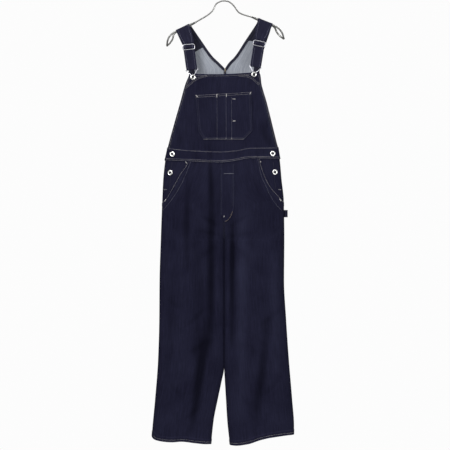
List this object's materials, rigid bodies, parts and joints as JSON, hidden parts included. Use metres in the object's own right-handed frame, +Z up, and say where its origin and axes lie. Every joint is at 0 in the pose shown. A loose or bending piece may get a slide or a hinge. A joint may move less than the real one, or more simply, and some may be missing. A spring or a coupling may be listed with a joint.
{
  "type": "denim dungarees on a hanger",
  "caption": "Straight-leg indigo denim dungarees with bib, clip-and-slider straps and patch pocket, hanging flat on a bent wire hanger held at its arch.",
  "frame": {"origin": "underside of the hanger's arch, where a hook or nail holds it", "axes": "+Z up, -Y out of the garment's front, +X to the viewer's right"},
  "size_m": [0.4711, 0.0787, 1.4679],
  "materials": {
    "denim": "matte indigo twill",
    "fittings": "polished",
    "hanger_wire": "polished wire"
  },
  "bodies": {
    "root": {"bib": "denim", "bib_pocket": "denim", "front_waistband": "denim", "front_leg_left": "denim", "front_leg_right": "denim", "hip_piece_left": "denim", "hip_piece_right": "denim", "fly": "denim", "back_leg_left": "denim", "back_leg_right": "denim", "back_bib_left": "denim", "back_bib_right": "denim", "strap_left": "denim", "strap_right": "denim", "hammer_loop": "denim", "slider_left": "fittings", "slider_right": "fittings", "clip_left": "fittings", "clip_right": "fittings", "bib_button_left": "fittings", "bib_button_right": "fittings", "side_button_left_upper": "fittings", "side_button_left_lower": "fittings", "side_button_right_upper": "fittings", "side_button_right_lower": "fittings", "hanger": "hanger_wire"}
  },
  "joints": []
}
